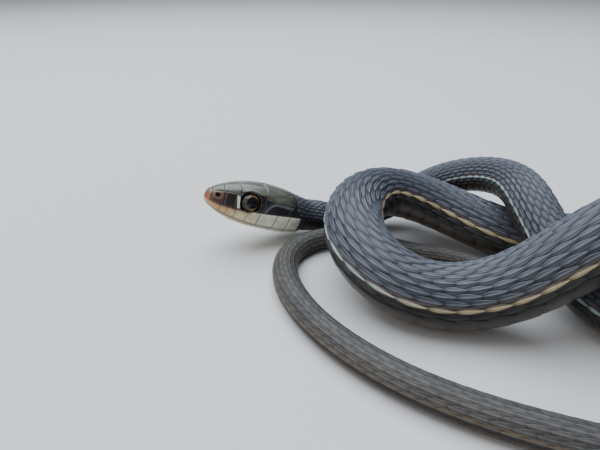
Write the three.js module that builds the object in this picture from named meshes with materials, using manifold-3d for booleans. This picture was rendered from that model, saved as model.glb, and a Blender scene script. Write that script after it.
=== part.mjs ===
// A ribbon garter snake lying in a loose double coil, head raised a little off the ground.
// Millimetres, +Z up, the belly rests on z = 0. The origin is under the middle of the coil.
import * as THREE from 'three';
import { mergeVertices } from 'three/addons/utils/BufferGeometryUtils.js';
import Module from 'manifold-3d';

const wasm = await Module();
wasm.setup();

// Middle of the coil on the ground, from the point that the route is measured from.
const CENTRE = [51.33, 64.21];

// The route of the backbone from snout to tail tip: x, y, height, roll in degrees, body width.
const ROUTE = [
  [-17.8, 88.7, 11.8, -12, 8.0], [-8.9, 91.9, 8.0, -12, 8.0], [0.2, 95.0, 4.5, -10, 8.0],
  [7.6, 96.7, 3.1, -3, 5.6], [14.0, 98.0, 3.3, 0, 5.7], [20.8, 100.2, 5.4, 0, 6.1],
  [28.2, 99.8, 9.9, 0, 6.8], [35.2, 95.4, 12.9, 0, 7.4], [39.0, 88.4, 14.2, 0, 7.8],
  [39.6, 80.6, 13.2, 0, 8.0], [41.4, 73.0, 8.6, 0, 8.3], [44.8, 65.4, 5.0, 0, 8.6],
  [50.8, 57.4, 4.1, 0, 9.0], [59.5, 52.4, 4.1, 0, 9.3], [68.5, 54.4, 4.2, 0, 9.5],
  [73.0, 62.5, 4.3, 0, 9.7], [72.4, 72.5, 4.3, 0, 9.9], [66.8, 80.6, 4.4, 0, 10.0],
  [58.5, 84.4, 4.4, 0, 10.1], [50.0, 84.6, 4.4, 0, 10.1], [42.2, 84.6, 4.5, 0, 10.1],
  [34.3, 87.2, 5.8, 10, 10.2], [26.0, 91.4, 8.2, 15, 10.2], [16.4, 91.6, 10.8, 15, 10.3],
  [10.2, 84.6, 11.2, 8, 10.4], [9.6, 75.0, 9.2, 0, 10.5], [14.7, 67.8, 6.3, 0, 10.6],
  [22.9, 65.0, 5.2, 0, 10.7], [32.2, 63.5, 8.5, 0, 10.8], [41.2, 63.0, 15.5, -6, 11.0],
  [51.0, 63.5, 20.5, -4, 11.0], [62.0, 63.5, 19.5, 0, 10.6], [74.0, 64.0, 16.0, 0, 10.0],
  [86.0, 65.0, 10.4, 0, 9.6], [97.0, 64.4, 5.4, 0, 9.2], [107.5, 60.6, 4.0, 0, 8.8],
  [115.5, 52.5, 3.7, 0, 8.3], [116.5, 41.5, 3.4, 0, 7.7], [109.0, 32.5, 3.1, 0, 7.0],
  [97.5, 28.8, 2.8, 0, 6.3], [85.0, 27.8, 2.6, 0, 5.9], [72.5, 28.8, 2.4, 0, 5.6],
  [60.0, 31.4, 2.3, 0, 5.4], [47.5, 35.6, 2.25, 0, 5.2], [35.5, 39.8, 2.2, 0, 5.0],
  [23.8, 44.4, 2.1, 0, 4.9], [13.4, 50.6, 2.1, 0, 4.8], [5.4, 58.6, 2.05, 0, 4.75],
  [0.0, 67.4, 2.0, 0, 4.7], [-2.6, 77.0, 1.95, 0, 4.6], [-0.8, 85.6, 1.9, 0, 4.4],
  [6.2, 90.2, 1.8, 0, 4.1], [14.2, 88.4, 1.7, 0, 3.8], [21.0, 85.0, 1.6, 0, 3.5],
  [28.0, 83.4, 1.5, 0, 3.2], [34.0, 79.6, 1.3, 0, 2.9], [40.0, 76.0, 1.2, 0, 2.6],
  [47.0, 75.4, 1.0, 0, 2.2], [54.0, 74.0, 0.8, 0, 1.8], [60.0, 70.0, 0.6, 0, 1.3],
  [63.0, 65.0, 0.4, 0, 0.8],
];

// Where each length of the body ends, in millimetres along the backbone from the snout.
const HEAD_END = 20.2;
const LENGTHS = [
  ['neck', 42], ['forebody_arch', 64], ['forebody_over', 86], ['forebody_under', 108],
  ['forebody_turn_1', 126], ['forebody_turn_2', 144], ['midbody_back', 166],
  ['midbody_rise', 188], ['midbody_loop_1', 204], ['midbody_loop_2', 220],
  ['midbody_front', 242], ['midbody_bridge_1', 266], ['midbody_bridge_2', 292],
  ['hindbody_down', 318], ['hindbody_turn_1', 336], ['hindbody_turn_2', 356],
  ['tail_root', 386], ['tail_length_1', 420], ['tail_length_2', 454], ['tail_length_3', 482],
  ['tail_bend_1', 500], ['tail_bend_2', 520], ['tail_under', 548], ['tail_tip', Infinity],
];
const JOINT_GAP = 0.4;
const RING_STEP = 2.6;
const BODY_SIDES = 18;
const TAIL_SIDES = 14;

// Cross-section of the body as shares of half its width: back, belly, and how square each is.
const BACK = 0.98;
const BELLY = 0.86;
const BACK_POWER = 2.0;
const BELLY_POWER = 2.5;

// The head along its axis from the snout: distance, half width, top, bottom, squareness,
// mouth line, upper edge of the lip scales.
const HEAD = [
  [0.0, 0.9, 0.65, -0.9, 2.0, -0.95, -0.4], [0.5, 1.5, 1.25, -1.45, 2.2, -1.3, -0.6],
  [1.8, 2.25, 2.15, -2.2, 2.5, -2.0, -0.9], [4.2, 3.05, 3.3, -3.25, 2.7, -2.6, -1.05],
  [7.0, 3.6, 4.1, -3.85, 2.9, -3.05, -1.05], [9.6, 4.0, 4.6, -4.1, 2.8, -3.25, -0.8],
  [12.6, 4.4, 4.7, -4.2, 2.6, -3.2, -0.55], [16.0, 4.6, 4.4, -4.15, 2.5, -3.05, -0.2],
  [18.6, 4.4, 3.8, -3.8, 2.4, -2.8, 0.0], [21.4, 3.55, 3.2, -3.1, 2.2, -2.3, 0.0],
  [24.5, 2.85, 2.75, -2.45, 2.1, -1.8, 0.0],
];
const HEAD_BLEND = 24.5;
const HEAD_RINGS = 48;
const HEAD_SIDES = 36;

// The mouth line and the lip scales, by distance from the snout.
const MOUTH_DEPTH = 0.3;
const MOUTH_END = 19.4;
const LIP_SEAMS = [2.7, 4.0, 5.5, 7.8, 10.1, 13.4, 16.0];
const LOWER_LIP = 0.7;
const LIP_RAISE = 0.16;
const SEAM_WIDTH = 0.22;

// The brow over each eye, the big shields behind it, and the pits and sockets.
const EYE_AT = 8.0;
const EYE_UP = 0.65;
const EYE_OUT = 2.5;
const EYE_RADIUS = 1.9;
const SOCKET_GAP = 0.3;
const BROW_RAISE = 0.35;
const BROW_HALF_LENGTH = 3.2;
const CROWN_RAISE = 0.14;
const CROWN_SEAMS = [1.1, 3.0, 5.8, 11.0, 16.9];
const NOSTRIL_AT = 2.0;
const NOSTRIL_UP = 0.7;
const NOSTRIL_RADIUS = 0.38;

const SKIN = { color: 0x59626a, roughness: 0.5, metalness: 0.0 };
const HEAD_SKIN = { color: 0x6d6f5f, roughness: 0.4, metalness: 0.0 };
const TAIL_SKIN = { color: 0x6f675c, roughness: 0.55, metalness: 0.0 };
const EYE = { color: 0x0d1016, roughness: 0.06, metalness: 0.0 };

// A smooth curve close through the stations: cubic B-spline pieces over sharpened stations.
function sharpen(rows) {
  return rows.map((row, i) => {
    if (i === 0 || i === rows.length - 1) return row;
    return row.map((v, k) => (8 * v - rows[i - 1][k] - rows[i + 1][k]) / 6);
  });
}

function splineTable(rows, stepsPerPiece) {
  const inner = sharpen(rows);
  const last = inner.length - 1;
  const before = inner[0].map((v, k) => 2 * v - inner[1][k]);
  const after = inner[last].map((v, k) => 2 * v - inner[last - 1][k]);
  const c = [before, ...inner, after];
  const table = [];
  for (let i = 0; i < last; i += 1) {
    for (let n = 0; n < stepsPerPiece; n += 1) {
      const t = n / stepsPerPiece;
      const b = [(1 - t) ** 3, 3 * t ** 3 - 6 * t * t + 4, -3 * t ** 3 + 3 * t * t + 3 * t + 1, t ** 3];
      table.push(rows[0].map((_, k) => b.reduce((sum, w, j) => sum + (w * c[i + j][k]) / 6, 0)));
    }
  }
  table.push(rows[last]);
  return table;
}

const table = splineTable(ROUTE, 24);
const travelled = [0];
for (let i = 1; i < table.length; i += 1) {
  const [a, b] = [table[i - 1], table[i]];
  travelled.push(travelled[i - 1] + Math.hypot(b[0] - a[0], b[1] - a[1], b[2] - a[2]));
}
const TOTAL = travelled[travelled.length - 1];

function routeAt(s) {
  const d = Math.min(Math.max(s, 0), TOTAL);
  let i = 1;
  while (i < travelled.length - 1 && travelled[i] < d) i += 1;
  const f = (d - travelled[i - 1]) / (travelled[i] - travelled[i - 1]);
  return table[i].map((v, k) => table[i - 1][k] * (1 - f) + v * f);
}

// Place and axes of the backbone at a distance from the snout: along the tail, left, back.
function frameAt(s) {
  const here = routeAt(s);
  const ahead = routeAt(s + 0.4);
  const behind = routeAt(s - 0.4);
  const along = new THREE.Vector3(ahead[0] - behind[0], ahead[1] - behind[1], ahead[2] - behind[2]);
  along.normalize();
  const level = new THREE.Vector3().crossVectors(along, new THREE.Vector3(0, 0, 1)).normalize();
  const up = new THREE.Vector3().crossVectors(level, along);
  const roll = THREE.MathUtils.degToRad(here[3]);
  const left = level.clone().multiplyScalar(Math.cos(roll)).addScaledVector(up, -Math.sin(roll));
  const back = up.clone().multiplyScalar(Math.cos(roll)).addScaledVector(level, Math.sin(roll));
  const place = new THREE.Vector3(here[0] - CENTRE[0], here[1] - CENTRE[1], here[2]);
  return { place, along, left, back, width: here[4] };
}

function rounded(angle, power) {
  const x = Math.sin(angle);
  const y = Math.cos(angle);
  const r = (Math.abs(x) ** power + Math.abs(y) ** power) ** (-1 / power);
  return [x * r, y * r];
}

function bodySection(angle, width) {
  const top = Math.cos(angle) > 0;
  const [x, y] = rounded(angle, top ? BACK_POWER : BELLY_POWER);
  return [(x * width) / 2, (y * width * (top ? BACK : BELLY)) / 2];
}

const headTable = splineTable(HEAD, 16);

function headRow(u) {
  let i = 1;
  while (i < headTable.length - 1 && headTable[i][0] < u) i += 1;
  const [a, b] = [headTable[i - 1], headTable[i]];
  const f = Math.min(Math.max((u - a[0]) / (b[0] - a[0]), 0), 1);
  return a.map((v, k) => v * (1 - f) + b[k] * f);
}

function bump(distance, width) {
  return Math.exp(-((distance / width) ** 2));
}

function nearestGap(u, seams) {
  return Math.min(...seams.map((seam) => Math.abs(u - seam)));
}

function step(low, high, v) {
  return THREE.MathUtils.smoothstep(v, low, high);
}

// Half width and height on the head at an angle round its axis, 0 on the crown.
function headSection(angle, u) {
  const [, half, top, bottom, power, mouth, lipTop] = headRow(u);
  const [x, y] = rounded(angle, power);
  const middle = (top + bottom) / 2;
  let out = x * half;
  let up = middle + (y * (top - bottom)) / 2;
  const fade = step(0.4, 1.6, u) * (1 - step(18.8, 20.6, u));
  const side = Math.abs(x);
  const onMouth = bump(up - mouth, SEAM_WIDTH) * step(0.3, 0.6, side) * (u < MOUTH_END ? 1 : 0);
  const lipBand = step(mouth - LOWER_LIP - 0.3, mouth - LOWER_LIP, up) * (1 - step(lipTop - 0.2, lipTop, up));
  const lip = lipBand * (1 - bump(nearestGap(u, LIP_SEAMS), SEAM_WIDTH)) * step(0.5, 0.8, side);
  out += Math.sign(x) * fade * (lip * LIP_RAISE - onMouth * MOUTH_DEPTH);
  const along = (u - EYE_AT) / BROW_HALF_LENGTH;
  const brow = Math.max(0, 1 - along * along) * bump(up - (EYE_UP + EYE_RADIUS), 0.7);
  out += Math.sign(x) * brow * BROW_RAISE;
  const crown = step(0.55, 0.8, y);
  const shield = (1 - bump(nearestGap(u, CROWN_SEAMS), SEAM_WIDTH)) * (1 - bump(x * half, SEAM_WIDTH));
  up += fade * crown * shield * CROWN_RAISE;
  return [out, up];
}

// Any distance from the snout: head shape, then a blend into the body's own section.
function sectionAt(s, angle, width) {
  if (s >= HEAD_BLEND) return bodySection(angle, width);
  const head = headSection(angle, s);
  const share = step(HEAD_END, HEAD_BLEND, s);
  const body = bodySection(angle, width);
  return [head[0] * (1 - share) + body[0] * share, head[1] * (1 - share) + body[1] * share];
}

// A closed body between two distances: rings of points, and a fan at each end.
function lengthOfBody(from, to, rings, sides) {
  const points = [];
  const faces = [];
  for (let i = 0; i <= rings; i += 1) {
    const s = from + ((to - from) * i) / rings;
    const f = frameAt(s);
    for (let j = 0; j < sides; j += 1) {
      const angle = (2 * Math.PI * j) / sides;
      const [out, up] = sectionAt(s, angle, f.width);
      const p = f.place.clone().addScaledVector(f.left, out).addScaledVector(f.back, up);
      points.push(p.x, p.y, Math.max(p.z, 0));
    }
  }
  for (let i = 0; i < rings; i += 1) {
    for (let j = 0; j < sides; j += 1) {
      const a = i * sides + j;
      const b = i * sides + ((j + 1) % sides);
      faces.push(a, b, a + sides, b, b + sides, a + sides);
    }
  }
  for (const [ring, turn] of [[0, false], [rings, true]]) {
    const f = frameAt(from + ((to - from) * ring) / rings);
    points.push(f.place.x, f.place.y, Math.max(f.place.z, 0));
    const hub = points.length / 3 - 1;
    for (let j = 0; j < sides; j += 1) {
      const a = ring * sides + j;
      const b = ring * sides + ((j + 1) % sides);
      faces.push(...(turn ? [hub, a, b] : [hub, b, a]));
    }
  }
  const geometry = new THREE.BufferGeometry();
  geometry.setAttribute('position', new THREE.Float32BufferAttribute(points, 3));
  geometry.setIndex(faces);
  return geometry;
}

function solid(geometry) {
  const bare = geometry.clone();
  bare.deleteAttribute('normal');
  bare.deleteAttribute('uv');
  const merged = mergeVertices(bare, 1e-5);
  return new wasm.Manifold(new wasm.Mesh({
    numProp: 3,
    vertProperties: new Float32Array(merged.attributes.position.array),
    triVerts: new Uint32Array(merged.index.array),
  }));
}

// The largest closed surface that is left after the cuts.
function largest(manifold) {
  const pieces = manifold.decompose();
  pieces.sort((a, b) => b.volume() - a.volume());
  const mesh = pieces[0].getMesh();
  const geometry = new THREE.BufferGeometry();
  geometry.setAttribute('position', new THREE.BufferAttribute(new Float32Array(mesh.vertProperties), 3));
  geometry.setIndex(new THREE.BufferAttribute(new Uint32Array(mesh.triVerts), 1));
  return geometry;
}

// A point on the head by distance from the snout, distance to the left, and height.
function headPoint(u, out, up) {
  const f = frameAt(u);
  return f.place.clone().addScaledVector(f.left, out).addScaledVector(f.back, up);
}

function ball(centre, radius, across, down) {
  const geometry = new THREE.SphereGeometry(radius, across, down);
  geometry.translate(centre.x, centre.y, centre.z);
  return geometry;
}

function headGeometry() {
  let head = solid(lengthOfBody(0, HEAD_END, HEAD_RINGS, HEAD_SIDES));
  for (const side of [-1, 1]) {
    const eye = headPoint(EYE_AT, side * EYE_OUT, EYE_UP);
    head = head.subtract(solid(ball(eye, EYE_RADIUS + SOCKET_GAP, 18, 12)));
    const pit = headPoint(NOSTRIL_AT, side * (headRow(NOSTRIL_AT)[1] + 0.05), NOSTRIL_UP);
    head = head.subtract(solid(ball(pit, NOSTRIL_RADIUS, 10, 6)));
  }
  return largest(head);
}

function named(name, geometry, look) {
  geometry.computeVertexNormals();
  const mesh = new THREE.Mesh(geometry, new THREE.MeshStandardMaterial(look));
  mesh.name = name;
  return mesh;
}

const snake = new THREE.Group();
snake.add(named('head', headGeometry(), HEAD_SKIN));
for (const [name, side] of [['eye_left', 1], ['eye_right', -1]]) {
  const eye = ball(headPoint(EYE_AT, side * EYE_OUT, EYE_UP), EYE_RADIUS, 18, 12);
  snake.add(named(name, eye, EYE));
}

let start = HEAD_END;
for (const [name, end] of LENGTHS) {
  const from = start + JOINT_GAP;
  const to = Math.min(end, TOTAL);
  const sides = name.startsWith('tail') ? TAIL_SIDES : BODY_SIDES;
  const rings = Math.ceil((to - from) / RING_STEP);
  const look = name.startsWith('tail') ? TAIL_SKIN : SKIN;
  snake.add(named(name, lengthOfBody(from, to, rings, sides), look));
  start = to;
}

export default snake;
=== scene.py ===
import bmesh
import bpy
import math
import numpy as np
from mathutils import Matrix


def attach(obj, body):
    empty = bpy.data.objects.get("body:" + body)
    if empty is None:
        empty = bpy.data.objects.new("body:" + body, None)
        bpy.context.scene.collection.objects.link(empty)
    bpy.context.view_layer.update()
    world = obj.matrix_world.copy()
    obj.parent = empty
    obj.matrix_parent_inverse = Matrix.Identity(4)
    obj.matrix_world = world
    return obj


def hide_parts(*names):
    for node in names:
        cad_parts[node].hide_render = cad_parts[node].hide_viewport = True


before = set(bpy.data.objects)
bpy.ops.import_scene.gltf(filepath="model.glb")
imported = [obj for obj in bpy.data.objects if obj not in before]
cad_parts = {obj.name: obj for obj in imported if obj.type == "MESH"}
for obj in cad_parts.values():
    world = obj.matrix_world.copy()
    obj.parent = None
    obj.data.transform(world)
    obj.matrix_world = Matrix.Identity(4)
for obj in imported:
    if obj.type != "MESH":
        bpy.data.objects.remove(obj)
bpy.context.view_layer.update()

# Camera and light. The view is a close one from just above the ground, and the light is a
# broad pale sky above and behind the coil with a weak warm fill from the floor side.
MM = 0.001
CENTRE = np.array([51.33, 64.21, 0.0])
CAMERA_HEIGHT = 50.5
CAMERA_TILT = 27.0
FOCAL_SHARE = 520.0 / 600.0
camera_data = bpy.data.cameras.new("camera")
camera_data.sensor_width = 36.0
camera_data.lens = camera_data.sensor_width * FOCAL_SHARE
camera_data.clip_start = 0.001
camera = bpy.data.objects.new("camera", camera_data)
camera.location = [-CENTRE[0] * MM, -CENTRE[1] * MM, CAMERA_HEIGHT * MM]
camera.rotation_euler = [math.radians(90.0 - CAMERA_TILT), 0.0, 0.0]
bpy.context.scene.collection.objects.link(camera)
bpy.context.scene.camera = camera


def soft_light(name, place, size, watts, colour):
    data = bpy.data.lights.new(name, "AREA")
    data.shape = "DISK"
    data.size = size
    data.energy = watts
    data.color = colour
    lamp = bpy.data.objects.new(name, data)
    lamp.location = place
    bpy.context.scene.collection.objects.link(lamp)
    aim = bpy.data.objects.new(name + "_aim", None)
    bpy.context.scene.collection.objects.link(aim)
    track = lamp.constraints.new("TRACK_TO")
    track.target = aim
    track.track_axis = "TRACK_NEGATIVE_Z"
    track.up_axis = "UP_Y"


soft_light("sky", (-0.12, 0.16, 0.55), 0.85, 8.6, (0.82, 0.90, 1.0))
soft_light("side", (-0.45, -0.30, 0.30), 0.55, 1.2, (1.0, 0.95, 0.88))
world = bpy.data.worlds.new("studio")
world.use_nodes = True
world.node_tree.nodes["Background"].inputs["Color"].default_value = (0.80, 0.86, 0.95, 1.0)
world.node_tree.nodes["Background"].inputs["Strength"].default_value = 0.28
bpy.context.scene.world = world

# Floor. The snake lies on the ground, which is left out here: a plain pale sheet, a single
# square a tenth of a millimetre under the belly, catches the shadows.
FLOOR_HALF = 1.5
floor_mesh = bpy.data.meshes.new("floor")
floor_corners = [(-FLOOR_HALF, -FLOOR_HALF, -0.0001), (FLOOR_HALF, -FLOOR_HALF, -0.0001),
                 (FLOOR_HALF, FLOOR_HALF, -0.0001), (-FLOOR_HALF, FLOOR_HALF, -0.0001)]
floor_mesh.from_pydata(floor_corners, [], [(0, 1, 2, 3)])
floor = bpy.data.objects.new("floor", floor_mesh)
bpy.context.scene.collection.objects.link(floor)
floor_look = bpy.data.materials.new("pale_floor")
floor_look.use_nodes = True
floor_shader = floor_look.node_tree.nodes["Principled BSDF"]
floor_shader.inputs["Base Color"].default_value = (0.62, 0.61, 0.60, 1.0)
floor_shader.inputs["Roughness"].default_value = 0.85
floor_mesh.materials.append(floor_look)

# The backbone. It is one smooth curve from the snout to the tail tip, with a roll about
# itself and a body width at each station: x, y, height, roll in degrees, width in millimetres.
ROUTE = np.array([
    [-17.8, 88.7, 11.8, -12, 8.0], [-8.9, 91.9, 8.0, -12, 8.0], [0.2, 95.0, 4.5, -10, 8.0],
    [7.6, 96.7, 3.1, -3, 5.6], [14.0, 98.0, 3.3, 0, 5.7], [20.8, 100.2, 5.4, 0, 6.1],
    [28.2, 99.8, 9.9, 0, 6.8], [35.2, 95.4, 12.9, 0, 7.4], [39.0, 88.4, 14.2, 0, 7.8],
    [39.6, 80.6, 13.2, 0, 8.0], [41.4, 73.0, 8.6, 0, 8.3], [44.8, 65.4, 5.0, 0, 8.6],
    [50.8, 57.4, 4.1, 0, 9.0], [59.5, 52.4, 4.1, 0, 9.3], [68.5, 54.4, 4.2, 0, 9.5],
    [73.0, 62.5, 4.3, 0, 9.7], [72.4, 72.5, 4.3, 0, 9.9], [66.8, 80.6, 4.4, 0, 10.0],
    [58.5, 84.4, 4.4, 0, 10.1], [50.0, 84.6, 4.4, 0, 10.1], [42.2, 84.6, 4.5, 0, 10.1],
    [34.3, 87.2, 5.8, 10, 10.2], [26.0, 91.4, 8.2, 15, 10.2], [16.4, 91.6, 10.8, 15, 10.3],
    [10.2, 84.6, 11.2, 8, 10.4], [9.6, 75.0, 9.2, 0, 10.5], [14.7, 67.8, 6.3, 0, 10.6],
    [22.9, 65.0, 5.2, 0, 10.7], [32.2, 63.5, 8.5, 0, 10.8], [41.2, 63.0, 15.5, -6, 11.0],
    [51.0, 63.5, 20.5, -4, 11.0], [62.0, 63.5, 19.5, 0, 10.6], [74.0, 64.0, 16.0, 0, 10.0],
    [86.0, 65.0, 10.4, 0, 9.6], [97.0, 64.4, 5.4, 0, 9.2], [107.5, 60.6, 4.0, 0, 8.8],
    [115.5, 52.5, 3.7, 0, 8.3], [116.5, 41.5, 3.4, 0, 7.7], [109.0, 32.5, 3.1, 0, 7.0],
    [97.5, 28.8, 2.8, 0, 6.3], [85.0, 27.8, 2.6, 0, 5.9], [72.5, 28.8, 2.4, 0, 5.6],
    [60.0, 31.4, 2.3, 0, 5.4], [47.5, 35.6, 2.25, 0, 5.2], [35.5, 39.8, 2.2, 0, 5.0],
    [23.8, 44.4, 2.1, 0, 4.9], [13.4, 50.6, 2.1, 0, 4.8], [5.4, 58.6, 2.05, 0, 4.75],
    [0.0, 67.4, 2.0, 0, 4.7], [-2.6, 77.0, 1.95, 0, 4.6], [-0.8, 85.6, 1.9, 0, 4.4],
    [6.2, 90.2, 1.8, 0, 4.1], [14.2, 88.4, 1.7, 0, 3.8], [21.0, 85.0, 1.6, 0, 3.5],
    [28.0, 83.4, 1.5, 0, 3.2], [34.0, 79.6, 1.3, 0, 2.9], [40.0, 76.0, 1.2, 0, 2.6],
    [47.0, 75.4, 1.0, 0, 2.2], [54.0, 74.0, 0.8, 0, 1.8], [60.0, 70.0, 0.6, 0, 1.3],
    [63.0, 65.0, 0.4, 0, 0.8],
])


def spline_table(rows, steps):
    inner = rows.copy()
    inner[1:-1] = (8 * rows[1:-1] - rows[:-2] - rows[2:]) / 6
    c = np.vstack([2 * inner[0] - inner[1], inner, 2 * inner[-1] - inner[-2]])
    t = (np.arange(steps) / steps)[:, None]
    weights = [(1 - t) ** 3, 3 * t ** 3 - 6 * t * t + 4, -3 * t ** 3 + 3 * t * t + 3 * t + 1, t ** 3]
    spans = [sum(w * c[i + j] / 6 for j, w in enumerate(weights)) for i in range(len(rows) - 1)]
    return np.vstack(spans + [rows[-1:]])


backbone = spline_table(ROUTE, 24)
travelled = np.concatenate([[0.0], np.cumsum(np.linalg.norm(np.diff(backbone[:, :3], axis=0), axis=1))])
TOTAL = travelled[-1]
STATION_STEP = 0.1
stations = np.arange(0.0, TOTAL, STATION_STEP)


def along_route(column, at):
    return np.interp(at, travelled, backbone[:, column])


def unit(v):
    return v / np.linalg.norm(v, axis=-1, keepdims=True)


def make_frames():
    place = np.stack([along_route(k, stations) for k in range(3)], axis=-1) - CENTRE
    ahead = np.stack([along_route(k, stations + 0.4) for k in range(3)], axis=-1)
    behind = np.stack([along_route(k, stations - 0.4) for k in range(3)], axis=-1)
    along = unit(ahead - behind)
    level = unit(np.cross(along, [0.0, 0.0, 1.0]))
    up = np.cross(level, along)
    roll = np.radians(along_route(3, stations))[:, None]
    left = level * np.cos(roll) - up * np.sin(roll)
    back = up * np.cos(roll) + level * np.sin(roll)
    return place, left, back, along_route(4, stations)


PLACE, LEFT, BACK_WAY, WIDTH = make_frames()


def sampled(values, s):
    if values.ndim == 1:
        return np.interp(s, stations, values)
    return np.stack([np.interp(s, stations, values[:, k]) for k in range(3)], axis=-1)


# Cross-sections. The body is round above and a little squared below; the head is flat on top
# with upright cheeks, and blends into the neck behind the jaw. A head row is the distance
# from the snout, half width, top, bottom, squareness, mouth line and upper edge of the lips.
BACK_SHARE = 0.98
BELLY_SHARE = 0.86
HEAD_END = 20.2
HEAD_BLEND = 24.5
HEAD_ROWS = np.array([
    [0.0, 0.9, 0.65, -0.9, 2.0, -0.95, -0.4], [0.5, 1.5, 1.25, -1.45, 2.2, -1.3, -0.6],
    [1.8, 2.25, 2.15, -2.2, 2.5, -2.0, -0.9], [4.2, 3.05, 3.3, -3.25, 2.7, -2.6, -1.05],
    [7.0, 3.6, 4.1, -3.85, 2.9, -3.05, -1.05], [9.6, 4.0, 4.6, -4.1, 2.8, -3.25, -0.8],
    [12.6, 4.4, 4.7, -4.2, 2.6, -3.2, -0.55], [16.0, 4.6, 4.4, -4.15, 2.5, -3.05, -0.2],
    [18.6, 4.4, 3.8, -3.8, 2.4, -2.8, 0.0], [21.4, 3.55, 3.2, -3.1, 2.2, -2.3, 0.0],
    [24.5, 2.85, 2.75, -2.45, 2.1, -1.8, 0.0],
])
head_table = spline_table(HEAD_ROWS, 16)


def ease(low, high, v):
    t = np.clip((v - low) / (high - low), 0.0, 1.0)
    return t * t * (3 - 2 * t)


def bump(distance, width):
    return np.exp(-(distance / width) ** 2)


def rounded(angle, power):
    x = np.sin(angle)
    y = np.cos(angle)
    r = (np.abs(x) ** power + np.abs(y) ** power) ** (-1 / power)
    return x * r, y * r


def body_section(angle, width):
    top = np.cos(angle) > 0
    x, y = rounded(angle, np.where(top, 2.0, 2.5))
    return x * width / 2, y * width * np.where(top, BACK_SHARE, BELLY_SHARE) / 2


def plain_head(angle, u):
    half, top, bottom, power = [np.interp(u, head_table[:, 0], head_table[:, k]) for k in range(1, 5)]
    x, y = rounded(angle, power)
    return x * half, (top + bottom) / 2 + y * (top - bottom) / 2, x, y


def section(s, angle):
    body = body_section(angle, sampled(WIDTH, s))
    head = plain_head(angle, s)
    share = ease(HEAD_END, HEAD_BLEND, s)
    return head[0] * (1 - share) + body[0] * share, head[1] * (1 - share) + body[1] * share


def place_on_body(s, out, up):
    p = sampled(PLACE, s) + sampled(LEFT, s) * out[..., None] + sampled(BACK_WAY, s) * up[..., None]
    p[..., 2] = np.maximum(p[..., 2], 0.0)
    return p


def on_body(s, angle, lift):
    out, up = section(s, angle)
    r = np.hypot(out, up)
    return place_on_body(s, out * (1 + lift / r), up * (1 + lift / r))


# Body markings. The back is slate grey, the flanks are dark brown, a pale stripe runs along
# each side, and the belly is tan, darkened with painted shade for the underside. The same colours
# are painted on the skin and on the scales.
ROW_ANGLE = 11.6
STRIPE_ANGLE = 7 * ROW_ANGLE
LOWEST_ROW = 9
VENT_AT = 388.0
SLATE = np.array([0.037, 0.040, 0.053])
FLANK = np.array([0.020, 0.017, 0.016])
STRIPE_BLUE = np.array([0.32, 0.42, 0.44])
STRIPE_GOLD = np.array([0.44, 0.345, 0.18])
TAN = np.array([0.19, 0.115, 0.065])
# belly tan darkened with painted shade for the underside
BELLY_TAN_IN_SHADE = np.array([0.070, 0.050, 0.033])
TAIL_GREY = np.array([0.052, 0.045, 0.036])
TAIL_SIDE = np.array([0.024, 0.019, 0.016])
TAIL_STRIPE = np.array([0.105, 0.08, 0.05])


def mix(a, b, f):
    return a + (b - a) * np.asarray(f)[..., None]


def body_colour(s, degrees):
    tail = ease(VENT_AT, VENT_AT + 80, s)
    gold = np.where(degrees < 0, ease(150, 165, s), ease(226, 246, s))
    stripe = mix(mix(STRIPE_BLUE, STRIPE_GOLD, gold), TAIL_STRIPE, ease(VENT_AT - 60, VENT_AT, s))
    upper = mix(SLATE, TAIL_GREY, tail)
    lower = mix(FLANK, TAIL_SIDE, tail)
    a = np.abs(degrees)
    colour = mix(upper, lower, ease(83, 88, a))
    colour = mix(colour, TAN, bump(a - 75.0, 2.2) * 0.45 * ease(24, 44, s))
    stripe_share = (1 - ease(3.2, 4.4, np.abs(a - STRIPE_ANGLE))) * ease(24, 44, s)
    colour = mix(colour, stripe, stripe_share)
    return mix(colour, BELLY_TAN_IN_SHADE, ease(109, 113, a))


# Mesh maker for everything laid on the body: points and quads in millimetres, a colour for
# each point, and a map of the unrolled skin for each corner.
def add_mesh(name, points, quads, colours, uv, material):
    mesh = bpy.data.meshes.new(name)
    count = len(quads)
    mesh.vertices.add(len(points))
    mesh.vertices.foreach_set("co", (points * MM).astype(np.float32).ravel())
    mesh.loops.add(count * 4)
    mesh.loops.foreach_set("vertex_index", quads.astype(np.int32).ravel())
    mesh.polygons.add(count)
    mesh.polygons.foreach_set("loop_start", np.arange(0, count * 4, 4, dtype=np.int32))
    mesh.polygons.foreach_set("use_smooth", np.ones(count, dtype=bool))
    mesh.update(calc_edges=True)
    layer = mesh.color_attributes.new("marking", "FLOAT_COLOR", "POINT")
    rgba = np.concatenate([colours, np.ones((len(colours), 1))], axis=1)
    layer.data.foreach_set("color", rgba.astype(np.float32).ravel())
    chart = mesh.uv_layers.new(name="OFBake")
    chart.data.foreach_set("uv", uv[quads.ravel()].astype(np.float32).ravel())
    mesh.materials.append(material)
    piece = bpy.data.objects.new(name, mesh)
    bpy.context.scene.collection.objects.link(piece)
    return piece


def close_shell(piece):
    """Join the points that meet at a pole and close an open end."""
    shell = bmesh.new()
    shell.from_mesh(piece.data)
    bmesh.ops.remove_doubles(shell, verts=shell.verts, dist=1e-6)
    bmesh.ops.holes_fill(shell, edges=[e for e in shell.edges if e.is_boundary], sides=0)
    bmesh.ops.triangulate(shell, faces=[f for f in shell.faces if len(f.verts) > 4])
    shell.to_mesh(piece.data)
    shell.free()


def grid_quads(rows, columns, wrap):
    i, j = np.meshgrid(np.arange(rows - 1), np.arange(columns if wrap else columns - 1), indexing="ij")
    a = (i * columns + j).ravel()
    b = (i * columns + (j + 1) % columns).ravel()
    return np.stack([a, b, b + columns, a + columns], axis=1)


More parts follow.
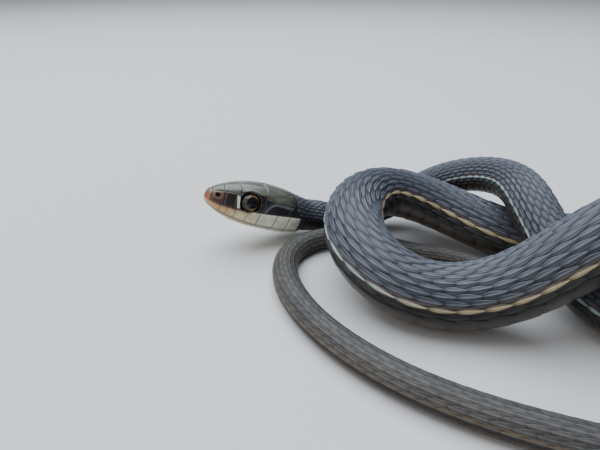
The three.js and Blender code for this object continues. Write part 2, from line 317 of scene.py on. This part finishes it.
# Fine skin grain: small unevenness in colour and height, shared by skin, scales and shields.
def grain_group():
    group = bpy.data.node_groups.new("skin_grain", "ShaderNodeTree")
    for name, kind, value in (("Colour", "NodeSocketColor", (0.5, 0.5, 0.5, 1.0)),
                              ("Grain size", "NodeSocketFloat", 2500.0),
                              ("Uneven", "NodeSocketFloat", 0.3)):
        socket = group.interface.new_socket(name, in_out="INPUT", socket_type=kind)
        socket.default_value = value
    group.interface.new_socket("Colour", in_out="OUTPUT", socket_type="NodeSocketColor")
    group.interface.new_socket("Height", in_out="OUTPUT", socket_type="NodeSocketFloat")
    nodes, links = group.nodes, group.links
    entry = nodes.new("NodeGroupInput")
    leave = nodes.new("NodeGroupOutput")
    where = nodes.new("ShaderNodeTexCoord")
    fine = nodes.new("ShaderNodeTexNoise")
    fine.inputs["Detail"].default_value = 3.0
    blotch = nodes.new("ShaderNodeTexNoise")
    blotch.inputs["Scale"].default_value = 420.0
    links.new(where.outputs["Object"], fine.inputs["Vector"])
    links.new(where.outputs["Object"], blotch.inputs["Vector"])
    links.new(entry.outputs["Grain size"], fine.inputs["Scale"])
    both = nodes.new("ShaderNodeMath")
    both.operation = "MULTIPLY_ADD"
    links.new(blotch.outputs["Fac"], both.inputs[0])
    both.inputs[1].default_value = 1.0
    links.new(fine.outputs["Fac"], both.inputs[2])
    level = nodes.new("ShaderNodeMapRange")
    level.inputs["From Min"].default_value = 0.7
    level.inputs["From Max"].default_value = 1.3
    level.inputs["To Min"].default_value = 0.65
    level.inputs["To Max"].default_value = 1.35
    links.new(both.outputs[0], level.inputs["Value"])
    tint = nodes.new("ShaderNodeMix")
    tint.data_type = "RGBA"
    tint.blend_type = "MULTIPLY"
    links.new(entry.outputs["Uneven"], tint.inputs["Factor"])
    links.new(entry.outputs["Colour"], tint.inputs["A"])
    links.new(level.outputs["Result"], tint.inputs["B"])
    links.new(tint.outputs["Result"], leave.inputs["Colour"])
    links.new(fine.outputs["Fac"], leave.inputs["Height"])
    return group


skin_grain = grain_group()


def skin_material(name, roughness, coat, grain, uneven, relief, specular=0.5):
    material = bpy.data.materials.new(name)
    material.use_nodes = True
    nodes, links = material.node_tree.nodes, material.node_tree.links
    shader = nodes["Principled BSDF"]
    shader.inputs["Coat Weight"].default_value = coat
    shader.inputs["Coat Roughness"].default_value = 0.25
    shader.inputs["Specular IOR Level"].default_value = specular
    painted = nodes.new("ShaderNodeAttribute")
    painted.attribute_name = "marking"
    group = nodes.new("ShaderNodeGroup")
    group.node_tree = skin_grain
    group.inputs["Grain size"].default_value = grain
    group.inputs["Uneven"].default_value = uneven
    links.new(painted.outputs["Color"], group.inputs["Colour"])
    links.new(group.outputs["Colour"], shader.inputs["Base Color"])
    spread = nodes.new("ShaderNodeMapRange")
    spread.inputs["To Min"].default_value = roughness - 0.07
    spread.inputs["To Max"].default_value = roughness + 0.07
    links.new(group.outputs["Height"], spread.inputs["Value"])
    links.new(spread.outputs["Result"], shader.inputs["Roughness"])
    relief_node = nodes.new("ShaderNodeBump")
    relief_node.inputs["Strength"].default_value = relief
    relief_node.inputs["Distance"].default_value = 0.00004
    links.new(group.outputs["Height"], relief_node.inputs["Height"])
    links.new(relief_node.outputs["Normal"], shader.inputs["Normal"])
    return material


# Body skin. The soft dark skin that shows between the scales, from the back of the head to
# the tail tip. Its colour is the body pattern at a sixth of its strength: dark skin and painted
# shade in the gaps between the scales. It is one closed sleeve swept along the backbone, a little
# inside the solids so that the scales reach their surface.
SKIN_INSET = 0.34
SKIN_START = 19.6
SKIN_SIDES = 56
SKIN_STEP = 1.1
skin_look = skin_material("dark_skin_and_painted_gap_shade", 0.75, 0.0, 3000.0, 0.5, 0.3, 0.15)
BODY_NODES = ["neck", "forebody_arch", "forebody_over", "forebody_under", "forebody_turn_1",
              "forebody_turn_2", "midbody_back", "midbody_rise", "midbody_loop_1",
              "midbody_loop_2", "midbody_front", "midbody_bridge_1", "midbody_bridge_2",
              "hindbody_down", "hindbody_turn_1", "hindbody_turn_2", "tail_root",
              "tail_length_1", "tail_length_2", "tail_length_3", "tail_bend_1", "tail_bend_2",
              "tail_under", "tail_tip"]


def closed_sleeve(name, s_values, sides, lift, colour_of, material):
    angle = np.linspace(0, 2 * math.pi, sides, endpoint=False)
    s, a = np.meshgrid(s_values, angle, indexing="ij")
    width = sampled(WIDTH, s)
    points = on_body(s, a, np.maximum(lift, -0.06 * width))
    colours = colour_of(s, a)
    uv = np.stack([s / TOTAL, a / (2 * math.pi)], axis=-1)
    ring = [p.reshape(-1, p.shape[-1]) for p in (points, colours, uv)]
    quads = grid_quads(len(s_values), sides, True)
    hubs = []
    for row in (0, len(s_values) - 1):
        hub = len(ring[0])
        hubs.append((row, hub))
        ring[0] = np.vstack([ring[0], points[row].mean(axis=0)])
        ring[1] = np.vstack([ring[1], colours[row].mean(axis=0)])
        ring[2] = np.vstack([ring[2], uv[row].mean(axis=0)])
    piece = add_mesh(name, ring[0], quads, ring[1], ring[2], material)
    shell = bmesh.new()
    shell.from_mesh(piece.data)
    shell.verts.ensure_lookup_table()
    for row, hub in hubs:
        for j in range(sides):
            pair = [shell.verts[row * sides + j], shell.verts[row * sides + (j + 1) % sides]]
            if row == 0:
                pair.reverse()
            shell.faces.new([shell.verts[hub]] + pair)
    bmesh.ops.recalc_face_normals(shell, faces=shell.faces)
    shell.to_mesh(piece.data)
    shell.free()
    piece.data.polygons.foreach_set("use_smooth", np.ones(len(piece.data.polygons), dtype=bool))
    return piece


def gap_shaded_skin_colour(s, a):
    degrees = np.degrees((a + math.pi) % (2 * math.pi) - math.pi)
    # dark skin, with painted shade in the gaps between scales: the body pattern at a sixth of its strength
    return body_colour(s, degrees) * 0.16


body_skin = closed_sleeve("body_skin", np.arange(SKIN_START, TOTAL, SKIN_STEP), SKIN_SIDES,
                          -SKIN_INSET, gap_shaded_skin_colour, skin_look)
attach(body_skin, "root")
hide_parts(*BODY_NODES)

# Scales. Each is a thin horny plate, lance-shaped and keeled, that overlaps the next like a
# roof shingle. They are laid as curved patches in staggered rows along the body: 19 rows on
# the trunk and fewer on the tail.
PITCH = np.array([[16, 1.2], [30, 1.5], [60, 1.85], [86, 2.1], [150, 3.1], [200, 3.8],
                  [300, 3.8], [370, 3.0], [400, 2.8], [480, 2.3], [540, 1.7], [586, 0.9]])
SCALE_LENGTHS = 10
SCALE_ACROSS = 11
SCALE_RISE = 0.30
KEEL_RISE = 0.14
# pale blue-grey of the painted highlight on keels and scale edges
KEEL_HIGHLIGHT = np.array([0.235, 0.26, 0.31])
rng = np.random.default_rng(7)
pitch_at = np.interp(stations, PITCH[:, 0], PITCH[:, 1])
count_table = np.concatenate([[0.0], np.cumsum(STATION_STEP / pitch_at)])[:-1]


def scale_centres(first, last, shift):
    low = math.ceil(np.interp(first, stations, count_table) - shift)
    high = math.floor(np.interp(last, stations, count_table) - shift)
    return np.interp(np.arange(low, high + 1) + shift, count_table, stations)


def outline_share(a):
    front = np.clip(1.1 + a, 0, None) ** 0.55
    rear = np.clip(1.02 - 0.97 * a, 0, None) ** 0.8
    return np.minimum(np.minimum(front, rear), 1.0)


def scale_patch(s0, angle0, half_length, half_angle, keel, rise, plate):
    """Stations, angles, lifts and local grid values for many scales at once, one row of arrays for each
    scale.
    """
    a = np.linspace(-1, 1, SCALE_LENGTHS)[None, :, None]
    b = np.linspace(-1, 1, SCALE_ACROSS)[None, None, :]
    share = 1.0 if plate else np.clip(outline_share(a), 0.04, 1.0)
    s = s0[:, None, None] + a * half_length[:, None, None] + 0 * b
    ang = angle0[:, None, None] + b * share * half_angle[:, None, None]
    edge = np.maximum(np.abs(b) ** 5 + 0 * a, np.abs(a) ** 14 + 0 * b)
    rim = 1 - ease(0.5, 1.0, edge)
    width = sampled(WIDTH, s0)[:, None, None]
    size = np.clip(width / 9.0, 0.25, 1.0)
    ramp = 0.10 + 0.90 * ease(-1.1, 0.85, a)
    dome = 1 - 0.25 * b * b
    ridge = np.exp(-(b / 0.16) ** 2) * keel[:, None, None] * ease(-0.9, -0.2, a) * (1 - ease(0.85, 1.0, a))
    high = (SCALE_RISE - KEEL_RISE) * ramp * dome + KEEL_RISE * ridge
    lift = size * (rise * high * rim - SKIN_INSET * rise - 0.08 * (1 - rise)) - 0.04 * (1 - rim)
    return s, ang, lift, a + 0 * b, b + 0 * a, rim, ridge


def scale_colour(s, ang, middle, a, b, rim, ridge, tones, gleam, plate):
    # the pale patch of a stripe scale narrows toward its tip
    off = np.degrees(ang - middle[:, None, None])
    pinch = 1.0 if plate else np.clip(outline_share(a), 0.2, 1.0)
    base = body_colour(s, np.degrees(middle)[:, None, None] + off / pinch) * tones[:, None, None, None]
    # painted highlight: keels and scale edges are mixed toward a pale blue-grey, strongest on the back,
    # fading down the flanks and weaker toward the tail; gleam sets its strength
    lit = np.clip(0.48 * ridge + 0.24 * ease(0.5, 0.9, np.abs(b)) * rim, 0, 1)
    degrees = np.abs(np.degrees(ang))
    lit = lit * (1 - ease(70, 92, degrees)) + 0.10 * ridge * ease(70, 92, degrees)
    colour = mix(base, KEEL_HIGHLIGHT, lit * (gleam - 0.55 * gleam * ease(350, 430, s)))
    # painted shade at the front of each scale, where the scale ahead overlaps it, and a little at its tip
    dark = 0.85 * (1 - ease(-0.75, -0.10, a)) + 0.25 * ease(0.85, 1.0, a)
    colour = colour * (1 - dark[..., None])
    # painted shade along the rim of each scale, in the crevices between scales
    return colour * (0.22 + 0.78 * rim[..., None])


def lay_scales(name, rows, material, reach=0.68, rise=1.0, gleam=1.0, plate=False):
    """rows is a list of (first s, last s, angle in degrees, stagger, half width in degrees, keel)."""
    points, colours, charts = [], [], []
    for first, last, degrees, shift, half_degrees, keel in rows:
        s0 = scale_centres(first, last, shift)
        n = len(s0)
        if n == 0:
            continue
        pitch = np.interp(s0, PITCH[:, 0], PITCH[:, 1])
        half_length = pitch * (reach + 0.04 * rng.random(n))
        angle0 = np.radians(degrees + 0.6 * (rng.random(n) - 0.5))
        half_angle = np.radians(half_degrees) * (0.97 + 0.06 * rng.random(n))
        tones = 0.86 + 0.28 * rng.random(n)
        s, ang, lift, a, b, rim, ridge = scale_patch(s0, angle0, half_length, half_angle,
                                                     np.full(n, float(keel)), rise, plate)
        points.append(on_body(s, ang, lift).reshape(-1, 3))
        colours.append(scale_colour(s, ang, angle0, a, b, rim, ridge, tones, gleam, plate).reshape(-1, 3))
        root = np.stack([s0 / TOTAL, (angle0 % (2 * math.pi)) / (2 * math.pi)], axis=-1)
        local = np.stack([a, b], axis=-1) * 0.0015
        charts.append((root[:, None, None, :] + local).reshape(-1, 2))
    points, colours, charts = np.vstack(points), np.vstack(colours), np.vstack(charts)
    one = grid_quads(SCALE_LENGTHS, SCALE_ACROSS, False)
    per = SCALE_LENGTHS * SCALE_ACROSS
    quads = (one[None] + (np.arange(len(points) // per) * per)[:, None, None]).reshape(-1, 4)
    piece = add_mesh(name, points, quads, colours, charts, material)
    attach(piece, "root")
    return piece


# Where each row begins on the neck, behind the crown shields, the cheek and the last lip scale.
NECK_START = 15.6
NECK_LAG = [1.3, 1.9, 1.6, 0.8, 0.0, 0.5, 1.2, 2.6, 3.4, 3.8]


def dorsal_rows(first, last, lowest, row_angle, keel):
    rows = []
    for k in range(-lowest, lowest + 1):
        smooth = 0.35 if abs(k) == lowest else 1.0
        begin = first + NECK_LAG[min(abs(k), 9)] if first == NECK_START else first
        rows.append((begin, last, k * row_angle, 0.5 * (k % 2), row_angle * 0.68, keel * smooth))
    return rows


body_look = skin_material("keeled_body_scales", 0.40, 0.06, 2600.0, 0.35, 0.25, 0.36)
tail_look = skin_material("keeled_tail_scales", 0.50, 0.0, 2200.0, 0.6, 0.55, 0.30)
for name, first, last in (("scales_neck", NECK_START, 64), ("scales_forebody", 64, 150),
                          ("scales_midbody", 150, 300), ("scales_hindbody", 300, VENT_AT)):
    lay_scales(name, dorsal_rows(first, last, LOWEST_ROW, ROW_ANGLE, 1.0), body_look)
for name, first, last in (("scales_tail_base", VENT_AT, 480), ("scales_tail_end", 480, TOTAL - 1.5)):
    lay_scales(name, dorsal_rows(first, last, 5, 21.0, 1.3), tail_look, 0.80, 0.6)

# Belly scutes. Broad smooth horny plates under the body, each as wide as the belly and
# lapping back like the scales. They are patches of the same kind, without keel or taper.
SCUTE_ANGLE = 180.0
SCUTE_HALF = 73.0
belly_look = skin_material("smooth_belly_scutes", 0.38, 0.1, 1800.0, 0.25, 0.12)
lay_scales("belly_scutes", [(20.0, VENT_AT, SCUTE_ANGLE, 0.25, SCUTE_HALF, 0.0),
                            (VENT_AT, TOTAL - 2, SCUTE_ANGLE, 0.25, 66.0, 0.0)], belly_look,
           0.62, 0.7, 0.5, True)

# Head skin. Large smooth horny shields cover the crown and cheeks, with a row of lip scales
# along each jaw. They are pressed out of one closed skin over the head: thin seams lie between
# them, and the mouth line is a deeper crease, darkened with painted shade, as is the nostril pit.
HEAD_NODE_END = 21.6
HEAD_RING_COUNT = 236
HEAD_SIDES = 208
EYE_AT = 8.0
EYE_UP = 0.65
EYE_OUT = 2.5
EYE_RADIUS = 1.9
UPPER_SEAMS = [2.7, 4.0, 5.5, 7.8, 10.1, 13.4, 16.0, 18.7]
LOWER_SEAMS = [2.2, 3.7, 5.3, 7.2, 9.6, 12.9, 16.0, 18.4]
CHEEK_LINES = [[(1.4, 1.4), (3.4, 1.75), (5.9, 1.85), (6.2, 2.8)], [(3.3, -1.0), (3.25, 1.75)],
               [(5.15, -1.0), (5.2, 1.85)], [(0.95, -0.6), (1.05, 1.2)],
               [(10.1, -0.7), (10.8, 0.5), (10.7, 2.4)], [(9.8, 0.7), (10.8, 0.8)],
               [(11.0, -0.65), (11.3, 0.3), (11.9, 1.2), (12.9, 1.75), (16.6, 1.65)],
               [(15.9, -0.2), (16.1, 1.65)], [(10.6, 2.55), (12.9, 2.0)]]
CROWN_LINES = [[(0.9, 0.0), (5.6, 0.0)], [(1.1, -2.0), (1.1, 2.0)], [(3.0, -2.8), (3.0, 2.8)],
               [(5.6, 0.0), (5.8, 0.95), (6.0, 3.1)], [(5.6, 0.0), (5.8, -0.95), (6.0, -3.1)],
               [(5.8, 0.95), (10.2, 1.1), (11.4, 0.0)], [(5.8, -0.95), (10.2, -1.1), (11.4, 0.0)],
               [(10.2, 1.1), (10.8, 3.3)], [(10.2, -1.1), (10.8, -3.3)], [(11.4, 0.0), (16.4, 0.0)],
               [(16.4, 0.0), (17.3, 1.5), (15.8, 3.2)], [(16.4, 0.0), (17.3, -1.5), (15.8, -3.2)]]
ROSTRAL = np.array([0.25, 0.095, 0.038])
NASAL = np.array([0.060, 0.034, 0.028])
LOREAL = np.array([0.018, 0.012, 0.010])
CHEEK = np.array([0.014, 0.012, 0.015])
CROWN = np.array([0.115, 0.118, 0.092])
CROWN_EDGE = np.array([0.34, 0.35, 0.29])
LIP_FRONT = np.array([0.52, 0.31, 0.14])
LIP_MIDDLE = np.array([0.62, 0.52, 0.33])
LIP_REAR = np.array([0.62, 0.65, 0.51])
CHIN = np.array([0.50, 0.43, 0.31])
SEAM_DARK = np.array([0.055, 0.04, 0.03])
TEMPLE_PALE = np.array([0.14, 0.15, 0.165])
EYE_BAR = np.array([0.66, 0.66, 0.56])
EYE_RIM = np.array([0.012, 0.010, 0.010])
LIP_STAIN = np.array([0.30, 0.12, 0.04])
LIP_EDGE = np.array([0.03, 0.02, 0.016])
# painted shade in the mouth crease
MOUTH_CREASE_SHADE = np.array([0.05, 0.035, 0.028])
# painted shade in the nostril pit
NOSTRIL_PIT_SHADE = np.array([0.10, 0.02, 0.012])
NOSTRIL_RIM = np.array([0.28, 0.15, 0.09])
NOSTRIL_AT = 2.0
NOSTRIL_UP = 0.7
LOWER_LIP = 0.75
CHIN_LINE = [(3.0, 0.0), (5.0, 1.7), (12.0, 1.9), (14.0, 0.0)]
TEMPLE_LINE = [(11.1, -0.4), (11.4, 0.3), (12.0, 1.1), (12.9, 1.65), (16.4, 1.5)]


def line_distance(x, y, line):
    best = np.full(x.shape, 9.0)
    for (x0, y0), (x1, y1) in zip(line[:-1], line[1:]):
        dx, dy = x1 - x0, y1 - y0
        t = np.clip(((x - x0) * dx + (y - y0) * dy) / (dx * dx + dy * dy), 0, 1)
        best = np.minimum(best, np.hypot(x - x0 - t * dx, y - y0 - t * dy))
    return best


def head_surface():
    near = np.linspace(0, 1, HEAD_RING_COUNT)
    u_values = HEAD_NODE_END * (0.75 * near + 0.25 * near ** 2)
    u_values[:6] = [0.0, 0.004, 0.018, 0.04, 0.075, 0.12]
    angle = np.linspace(0, 2 * math.pi, HEAD_SIDES, endpoint=False)
    u, a = np.meshgrid(u_values, angle, indexing="ij")
    half = np.interp(u, head_table[:, 0], head_table[:, 1])
    mouth = np.interp(u, head_table[:, 0], head_table[:, 5])
    lip_top = np.interp(u, head_table[:, 0], head_table[:, 6])
    out, up = section(u, a)
    y = plain_head(a, u)[3]
    side = np.abs(out)
    nose = np.clip(u / 0.5, 0, 1) ** 0.5
    out, up = out * nose, up * nose
    fade = ease(0.3, 1.2, u) * (1 - ease(17.0, 18.2, u) * ease(-0.2, 0.6, up)) * (1 - ease(18.9, 20.0, u))

    is_side = side > 0.42 * half
    on_crown = ease(0.60, 0.72, y)
    mouth_gap = np.abs(up - mouth)
    in_mouth = is_side * (1 - ease(19.2, 20.0, u))
    crease = bump(mouth_gap, 0.13) * in_mouth
    upper = (up > mouth) & (up < lip_top + 0.05)
    lower = (up < mouth) & (up > mouth - LOWER_LIP)
    upper_gap = np.min([np.abs(u - q - 0.12 * (up - mouth)) for q in UPPER_SEAMS], axis=0)
    upper_gap = np.where(upper & is_side, upper_gap, 9)
    lower_gap = np.min([np.abs(u - q + 0.2 * (up - mouth)) for q in LOWER_SEAMS], axis=0)
    lower_gap = np.where(lower & is_side, lower_gap, 9)
    lip_edge = np.where(is_side & (u < 19.6), np.abs(up - lip_top), 9)
    chin_edge = np.where(is_side & (u < 19.0), np.abs(up - (mouth - LOWER_LIP)), 9)
    cheek_gap = np.min([line_distance(u, up, q) for q in CHEEK_LINES], axis=0)
    cheek_gap = np.where(is_side & (up > lip_top) & (y < 0.80), cheek_gap, 9)
    crown_gap = np.min([line_distance(u, out, q) for q in CROWN_LINES], axis=0)
    crown_gap = np.where(y > 0.62, crown_gap, 9)
    under_gap = np.minimum(np.abs(out), line_distance(u, side, CHIN_LINE))
    under_gap = np.where(y < -0.7, under_gap, 9)
    gaps = [upper_gap, lower_gap, lip_edge, chin_edge, cheek_gap, crown_gap, under_gap]
    seams = np.min(gaps, axis=0)
    brow = np.clip(1 - ((u - EYE_AT) / 3.4) ** 2, 0, 1) * bump(up - (EYE_UP + EYE_RADIUS - 0.15), 0.55)
    brow = brow * is_side
    eye_gap = np.hypot(u - EYE_AT, up - EYE_UP)
    ring = bump(eye_gap - (EYE_RADIUS + 0.12), 0.28) * is_side
    socket = (1 - ease(EYE_RADIUS - 0.15, EYE_RADIUS + 0.15, eye_gap)) * is_side
    nostril_gap = np.hypot((u - NOSTRIL_AT) / 1.2, up - NOSTRIL_UP) * np.where(is_side, 1, 9)
    pit = 1 - ease(0.18, 0.42, nostril_gap)
    swell = bump(nostril_gap - 0.55, 0.25)
    lips = ease(-0.9, -0.7, up - mouth) * (1 - ease(-0.15, 0.05, up - lip_top)) * is_side
    lift = fade * (-0.15 * bump(seams, 0.10) - 0.30 * crease + 0.12 * lips + 0.05 * swell)
    lift += 0.30 * brow + 0.10 * ring - 1.1 * socket - 0.75 * pit
    lift -= 0.05 + 0.25 * ease(16.6, 18.0, u) * (1 - fade)
    r = np.hypot(out, up) + 1e-6
    tip = ease(0.0, 0.5, u)
    points = place_on_body(u, out * (1 + tip * lift / r), up * (1 + tip * lift / r))

    colour = mix(CHEEK, LOREAL, 1 - ease(4.9, 6.0, u))
    colour = mix(colour, NASAL, 1 - ease(2.8, 4.0, u))
    colour = mix(colour, ROSTRAL, 1 - ease(0.6, 0.95, u))
    rim = bump(line_distance(u, up, TEMPLE_LINE) - 0.16, 0.16)
    colour = mix(colour, TEMPLE_PALE, 0.8 * rim * is_side)
    crown = mix(CROWN, CROWN_EDGE, 0.22 * bump(crown_gap - 0.16, 0.10))
    streak = 0.5 + 0.5 * np.sin(9.0 * out + 0.8 * np.sin(1.3 * u)) * np.sin(0.9 * u + 2.0 * out)
    crown = crown * (1 - 0.35 * streak * ease(6.0, 8.0, u) - 0.40 * ease(13.0, 16.5, u))[..., None]
    crown = mix(crown, ROSTRAL, 0.8 * (1 - ease(0.5, 0.9, u)))
    over = np.maximum(on_crown, ease(1.85, 2.1, up) * ease(10.2, 11.6, u))
    over = np.maximum(over, ease(2.35, 2.7, up) * ease(4.5, 6.2, u) * is_side)
    over = np.maximum(over, ease(1.6, 1.85, up) * ease(1.2, 2.2, u) * (1 - ease(5.0, 6.4, u)) * is_side)
    colour = mix(colour, crown, over)
    bar = 1 - ease(0.16, 0.34, np.abs(u - 5.75 + 0.18 * (up - 0.4)))
    bar = bar * ease(-1.0, -0.6, up) * (1 - ease(1.2, 1.7, up)) * is_side
    colour = mix(colour, EYE_BAR, 0.95 * bar)
    dark_ring = bump(eye_gap - (EYE_RADIUS + 0.05), 0.30) * is_side
    colour = mix(colour, EYE_RIM, 0.9 * dark_ring * (1 - bar))
    lip = mix(LIP_FRONT, LIP_MIDDLE, ease(2.5, 7.5, u))
    lip = mix(lip, LIP_REAR, ease(7.5, 12.0, u))
    stain = bump(up - lip_top, 0.32) * (1 - ease(7.0, 9.5, u)) * (up > mouth)
    lip = mix(lip, LIP_STAIN, 0.65 * stain)
    below = (1 - ease(-0.10, 0.05, up - lip_top)) * (1 - ease(18.3, 18.9, u) * (up > mouth))
    colour = mix(colour, lip, below)
    chin = mix(CHIN, LIP_REAR, ease(8, 16, u))
    colour = mix(colour, chin, (1 - ease(-0.2, 0.0, up - mouth)) * 0.8)
    seam_tone = bump(seams, 0.085) * (fade + 0.2 * (1 - fade))
    thin = np.where(upper | lower, ease(7.0, 12.0, u) * 0.35 + 0.6, 0.9)
    colour = mix(colour, SEAM_DARK, seam_tone * thin)
    edge_dark = bump(up - lip_top - 0.06, 0.13) * is_side * ease(1.5, 3.0, u)
    colour = mix(colour, LIP_EDGE, 0.75 * edge_dark)
    # painted shade in the mouth crease
    colour = mix(colour, MOUTH_CREASE_SHADE, 0.85 * crease)
    # painted shade in the nostril pit
    colour = mix(colour, NOSTRIL_PIT_SHADE, np.clip(pit * 1.3, 0, 1))
    colour = mix(colour, NOSTRIL_RIM, 0.4 * bump(nostril_gap - 0.62, 0.16) * (1 - pit))
    behind = np.maximum(ease(15.8, 17.6, u) * ease(-0.3, 0.4, up), ease(18.6, 20.0, u))
    neck = body_colour(u, np.degrees((a + math.pi) % (2 * math.pi) - math.pi)) * 0.4
    colour = mix(colour, neck, behind * (up > -1.6))
    uv = np.stack([u / HEAD_NODE_END, a / (2 * math.pi)], axis=-1)
    return points, colour, uv


head_look = skin_material("smooth_head_shields", 0.30, 0.18, 1300.0, 0.5, 0.14, 0.40)
head_points, head_colours, head_uv = head_surface()
head_quads = grid_quads(HEAD_RING_COUNT, HEAD_SIDES, True)
head_skin = add_mesh("head_skin", head_points.reshape(-1, 3), head_quads, head_colours.reshape(-1, 3),
                     head_uv.reshape(-1, 2), head_look)
close_shell(head_skin)
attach(head_skin, "root")
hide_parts("head")

# Eyes. Each is a wet dark ball under a clear scale, with a thin gold ring round a large round
# pupil. It is a closed sphere set in its socket, turned a little up and back.
EYE_RINGS = 64
EYE_SIDES = 96
PUPIL = 1.20
IRIS_BLACK = np.array([0.003, 0.003, 0.005])
IRIS_DARK = np.array([0.014, 0.010, 0.009])
IRIS_GOLD = np.array([0.62, 0.33, 0.09])
TURNED_BACK = 0.16
TURNED_UP = 0.10
eye_look = bpy.data.materials.new("wet_dark_eye")
eye_look.use_nodes = True
eye_shader = eye_look.node_tree.nodes["Principled BSDF"]
eye_shader.inputs["Roughness"].default_value = 0.12
eye_shader.inputs["Coat Weight"].default_value = 0.35
eye_shader.inputs["Specular IOR Level"].default_value = 0.22
eye_shader.inputs["Coat Roughness"].default_value = 0.02
eye_paint = eye_look.node_tree.nodes.new("ShaderNodeAttribute")
eye_paint.attribute_name = "marking"
eye_look.node_tree.links.new(eye_paint.outputs["Color"], eye_shader.inputs["Base Color"])


def make_eye(name, side):
    at = np.array([EYE_AT])
    middle = place_on_body(at, np.array([side * EYE_OUT]), np.array([EYE_UP]))[0]
    left, back = sampled(LEFT, at)[0], sampled(BACK_WAY, at)[0]
    tail_way = np.cross(left, back) * -1
    tail_way = tail_way * np.sign(np.dot(tail_way, sampled(PLACE, at + 1)[0] - sampled(PLACE, at)[0]))
    axis = unit(left * side + tail_way * TURNED_BACK + back * TURNED_UP)
    across = unit(np.cross(axis, back))
    upward = np.cross(across, axis)
    turns = np.linspace(0, 2 * math.pi, EYE_SIDES, endpoint=False)
    polar, turn = np.meshgrid(np.linspace(0, math.pi, EYE_RINGS), turns, indexing="ij")
    ring = np.sin(polar)
    points = middle + EYE_RADIUS * (np.cos(polar)[..., None] * axis
                                    + (ring * np.cos(turn))[..., None] * across
                                    + (ring * np.sin(turn))[..., None] * upward)
    reach = ring * EYE_RADIUS
    gold = bump(reach - PUPIL - 0.10, 0.11)
    toward_tail = np.cos(turn) * np.sign(np.dot(across, tail_way))
    rear_part = 0.10 + 0.90 * ease(-0.4, 0.6, toward_tail)
    colours = mix(IRIS_DARK, IRIS_BLACK, 1 - ease(PUPIL - 0.05, PUPIL, reach))
    colours = mix(colours, IRIS_GOLD, np.clip(gold * rear_part, 0, 1) * (polar < 1.3))
    uv = np.stack([turn / (2 * math.pi), polar / math.pi], axis=-1)
    quads = grid_quads(EYE_RINGS, EYE_SIDES, True)
    eye = add_mesh(name + "_ball", points.reshape(-1, 3), quads, colours.reshape(-1, 3),
                   uv.reshape(-1, 2), eye_look)
    close_shell(eye)
    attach(eye, "root")
    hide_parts(name)


make_eye("eye_left", 1)
make_eye("eye_right", -1)
